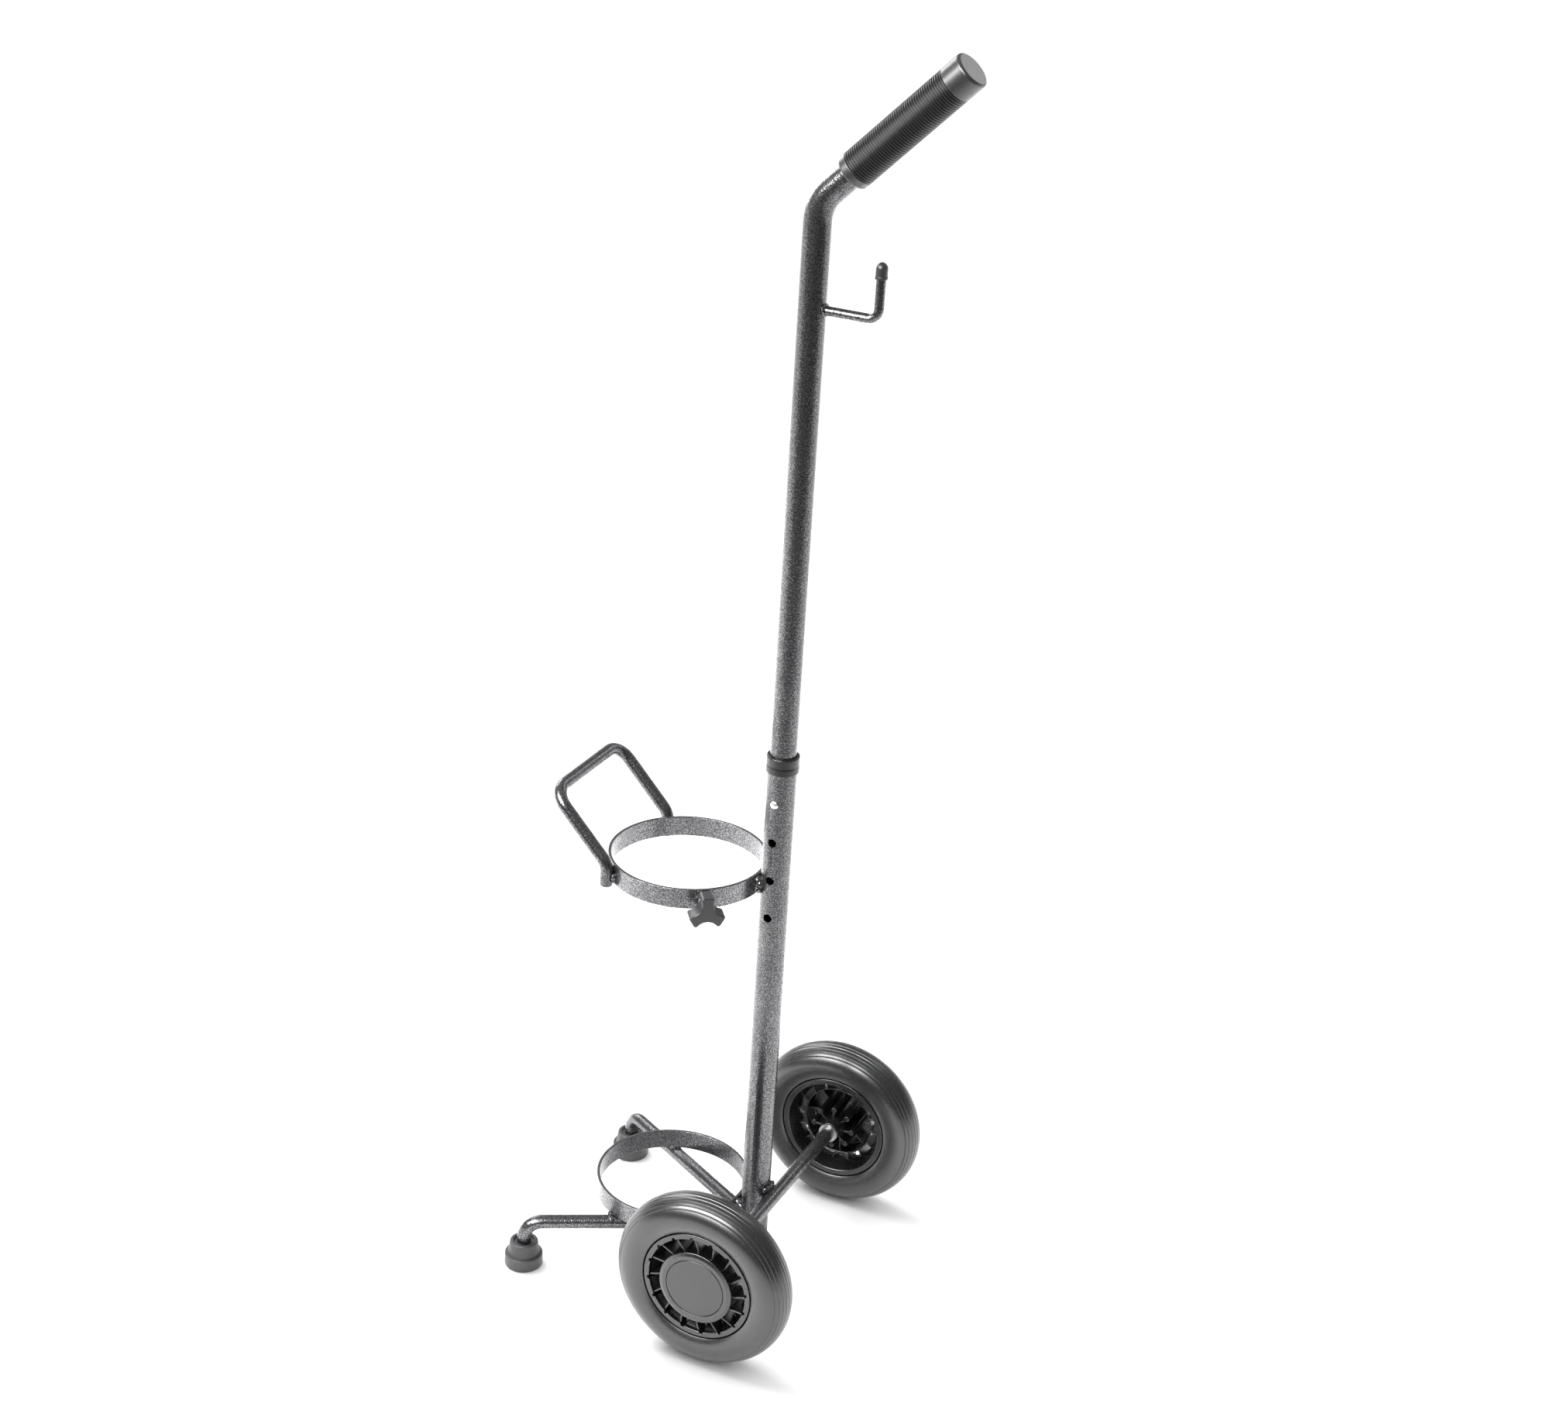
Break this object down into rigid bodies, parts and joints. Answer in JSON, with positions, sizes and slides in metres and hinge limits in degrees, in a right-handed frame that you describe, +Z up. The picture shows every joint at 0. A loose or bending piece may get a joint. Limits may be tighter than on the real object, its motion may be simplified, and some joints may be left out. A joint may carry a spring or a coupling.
{
  "type": "gas cylinder trolley",
  "caption": "Narrow steel trolley for a small gas cylinder: hoops on a mast, a V of legs with rubber feet, wheels on a bar axle, telescopic push handle with grip and hook.",
  "frame": {"origin": "on the floor, under the middle of the part's box", "axes": "+X along the axle to the side with the clamp knob, which is the pushing person's left; -Y ahead, where the feet are; +Z up along the mast"},
  "size_m": [0.355, 0.3589, 1.2289],
  "materials": {
    "frame_paint": "speckled grey hammertone paint, semi-gloss",
    "black_plastic": "satin moulded plastic",
    "grip_rubber": "satin, ribbed",
    "foot_rubber": "satin",
    "tyre_rubber": "satin, fine tread grooves",
    "rim_plastic": "satin moulded plastic",
    "knob_plastic": "satin moulded plastic",
    "zinc": "bright zinc plate",
    "button_chrome": "polished"
  },
  "bodies": {
    "frame": {"lower_mast": "frame_paint", "mast_collar": "black_plastic", "mast_plug": "black_plastic", "upper_hoop": "frame_paint", "lower_hoop": "frame_paint", "carrying_handle": "frame_paint", "left_leg": "frame_paint", "right_leg": "frame_paint", "left_foot": "foot_rubber", "right_foot": "foot_rubber", "axle": "frame_paint", "left_washer": "zinc", "right_washer": "zinc", "left_clip": "zinc", "right_clip": "zinc", "clamp_nut": "frame_paint", "hoop_welds": "frame_paint", "leg_welds": "frame_paint", "axle_welds": "frame_paint", "handle_welds": "frame_paint"},
    "push_handle": {"upper_mast": "frame_paint", "hand_grip": "grip_rubber", "bag_hook": "frame_paint", "hook_cap": "black_plastic", "hook_weld": "frame_paint", "snap_spring": "zinc"},
    "button": {"snap_button": "button_chrome"},
    "left_wheel": {"left_tyre": "tyre_rubber", "left_rim": "rim_plastic", "left_hub_cap": "rim_plastic"},
    "right_wheel": {"right_tyre": "tyre_rubber", "right_rim": "rim_plastic", "right_hub_cap": "rim_plastic"},
    "clamp_tip": {"clamp_tip": "knob_plastic"},
    "clamp_screw": {"clamp_stud": "zinc", "clamp_knob": "knob_plastic"}
  },
  "joints": [
    {"name": "mast_slide", "type": "slide", "parent": "frame", "child": "push_handle", "axis": [0, 0, 1], "range_m": [-0.12, 0], "deforming": ["snap_button", "snap_spring"]},
    {"name": "button_press", "type": "slide", "parent": "push_handle", "child": "button", "axis": [-1, 0, 0], "range_m": [0, 0.0034], "stiffness_N_per_m": 1500, "springref_m": -0.004, "deforming": ["snap_spring"]},
    {"name": "left_wheel_spin", "type": "hinge", "parent": "frame", "child": "left_wheel", "pos_m": [0.156, 0.06098, 0.09], "axis": [1, 0, 0], "continuous": true},
    {"name": "right_wheel_spin", "type": "hinge", "parent": "frame", "child": "right_wheel", "pos_m": [-0.156, 0.06098, 0.09], "axis": [1, 0, 0], "continuous": true},
    {"name": "clamp_travel", "type": "slide", "parent": "frame", "child": "clamp_tip", "axis": [-0.7986, -0.6018, 0], "range_m": [0, 0.0075]},
    {"name": "clamp_spin", "type": "hinge", "parent": "clamp_tip", "child": "clamp_screw", "pos_m": [0.07347, 0.00189, 0.4335], "axis": [-0.7986, -0.6018, 0], "range_deg": [0, 2160]}
  ],
  "couplings": [
    {"joint": "clamp_travel", "follows": "clamp_spin", "m_per_rad": 0.00019894}
  ]
}
